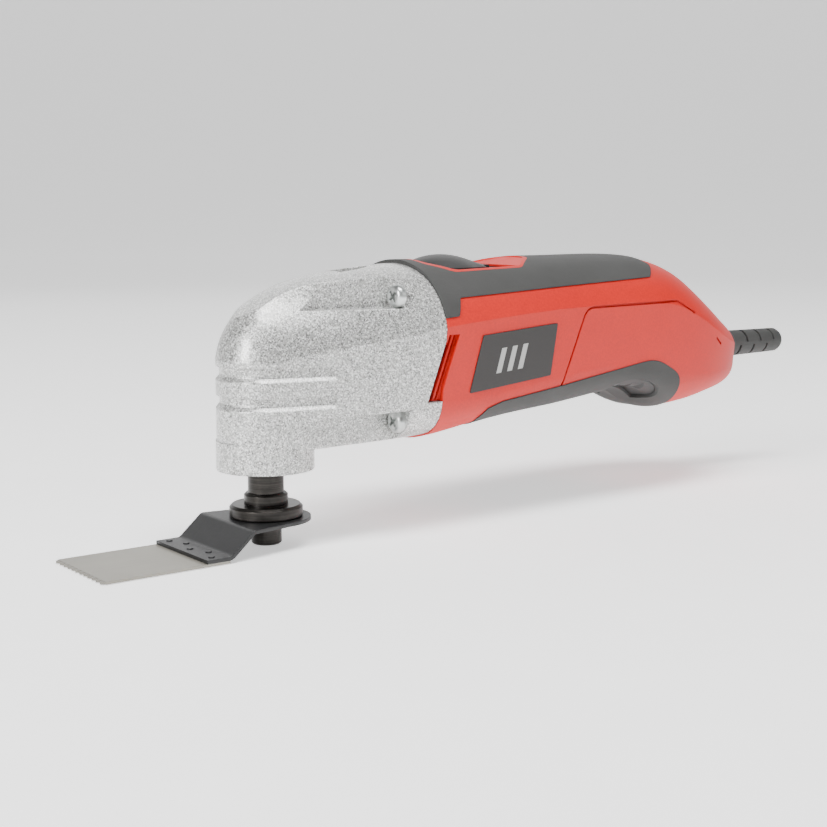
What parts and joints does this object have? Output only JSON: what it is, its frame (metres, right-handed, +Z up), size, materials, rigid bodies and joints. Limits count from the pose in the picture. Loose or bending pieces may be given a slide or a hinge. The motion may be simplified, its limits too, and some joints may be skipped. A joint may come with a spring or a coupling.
{
  "type": "oscillating multi tool",
  "caption": "Corded oscillating multi tool: cast gear head, two-part motor housing with soft grips, slide switch, and a plunge saw blade on an oscillating spindle.",
  "frame": {"origin": "spindle axis at the underside of the clamp screw's head and of the blade", "axes": "+X from the spindle to the cord exit, +Z up along the spindle, +Y the tool's right side"},
  "size_m": [0.3205, 0.0592, 0.0927],
  "materials": {
    "cast_silver": "hammered silver paint on cast aluminium",
    "red_plastic": "fine textured moulded nylon",
    "grip_rubber": "soft overmould, satin",
    "black_plastic": "satin moulded",
    "plate_film": "satin film",
    "zinc_steel": "bright zinc plated",
    "dark_steel": "blackened, turned",
    "bearing_steel": "ground",
    "blade_steel": "matt grey",
    "bracket_black": "black phosphate, satin",
    "machined_aluminium": "die cast, machined",
    "core_steel": "laminated",
    "copper": "enamelled copper wire",
    "brass": "pressed",
    "carbon": "graphite",
    "white_nylon": "moulded nylon"
  },
  "bodies": {
    "housing": {"gear_housing": "cast_silver", "housing_screws": "zinc_steel", "shell_screws": "zinc_steel", "spindle_lower_bearing": "bearing_steel", "spindle_upper_bearing": "bearing_steel", "spindle_seal": "black_plastic", "front_armature_bearing": "bearing_steel", "rear_armature_bearing": "bearing_steel", "bearing_sleeve": "black_plastic", "bearing_plate": "machined_aluminium", "stator_core": "core_steel", "stator_coils": "copper", "air_baffle": "black_plastic", "brush_holders": "brass", "carbon_brushes": "carbon", "brush_springs": "bearing_steel", "left_shell": "red_plastic", "right_shell": "red_plastic", "left_top_grip": "grip_rubber", "right_top_grip": "grip_rubber", "left_belly_grip": "grip_rubber", "right_belly_grip": "grip_rubber", "left_intake_louvre": "black_plastic", "right_intake_louvre": "black_plastic", "name_plate": "plate_film", "rating_plate": "plate_film", "electric_switch": "black_plastic", "suppression_capacitor": "white_nylon", "terminal_block": "white_nylon", "cord_clamp": "black_plastic", "cord_clamp_screws": "zinc_steel", "strain_relief": "grip_rubber"},
    "spindle_group": {"spindle": "dark_steel", "rocker_fork": "core_steel", "blade_bracket": "bracket_black", "blade_rivets": "zinc_steel", "saw_blade": "blade_steel", "clamp_screw": "dark_steel", "clamp_washer": "dark_steel"},
    "armature_group": {"armature_shaft": "bearing_steel", "armature_core": "core_steel", "armature_windings": "copper", "commutator": "copper", "cooling_fan": "black_plastic", "counterweight": "core_steel", "eccentric_bearing": "bearing_steel"},
    "slider_group": {"switch_slider": "black_plastic", "switch_rod": "white_nylon"}
  },
  "joints": [
    {"name": "spindle_oscillation", "type": "hinge", "parent": "housing", "child": "spindle_group", "pos_m": [0, 0, 0], "axis": [0, 0, 1], "range_deg": [-1.5, 1.5]},
    {"name": "armature_spin", "type": "hinge", "parent": "housing", "child": "armature_group", "pos_m": [0, 0, 0.0615], "axis": [1, 0, 0], "continuous": true},
    {"name": "switch_slide", "type": "slide", "parent": "housing", "child": "slider_group", "axis": [1, 0, 0], "range_m": [0, 0.005]}
  ]
}
